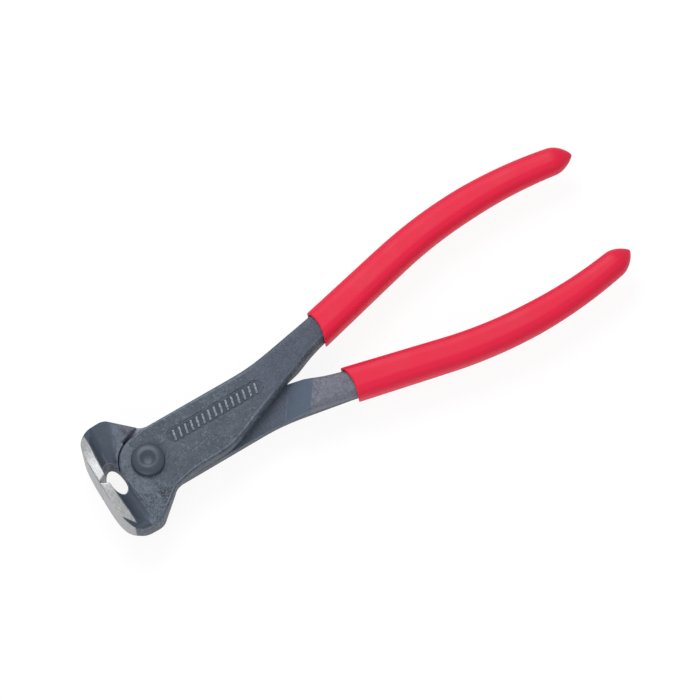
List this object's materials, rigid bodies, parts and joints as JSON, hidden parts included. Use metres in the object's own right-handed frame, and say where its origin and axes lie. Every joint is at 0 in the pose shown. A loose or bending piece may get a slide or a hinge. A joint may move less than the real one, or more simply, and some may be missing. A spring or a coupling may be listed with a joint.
{
  "type": "end cutting nippers",
  "caption": "Lap-jointed end cutting nippers with wide ground blades across the tip, a domed joint rivet and curved handles in dipped plastic sleeves.",
  "frame": {"origin": "centre of the bounding box in X and Y, on the plane under the lowest point", "axes": "+X along the tool from the jaws to the handles, +Y towards the handle of the front half, +Z along the rivet towards its domed head"},
  "size_m": [0.1783, 0.0528, 0.022],
  "materials": {
    "forged_steel": "black lacquer over forged steel, fine pitted skin, blades ground bright",
    "rivet_steel": "smooth dark lacquered rivet head",
    "grip_plastic": "red dipped plastic, semi-gloss"
  },
  "bodies": {
    "back_lever": {"back_half": "forged_steel", "rivet": "rivet_steel", "back_grip": "grip_plastic"},
    "front_lever": {"front_half": "forged_steel", "front_grip": "grip_plastic"}
  },
  "joints": [
    {"name": "jaw_hinge", "type": "hinge", "parent": "back_lever", "child": "front_lever", "pos_m": [-0.07219, 0, 0.011], "axis": [0, 0, 1], "range_deg": [0, 23]}
  ]
}
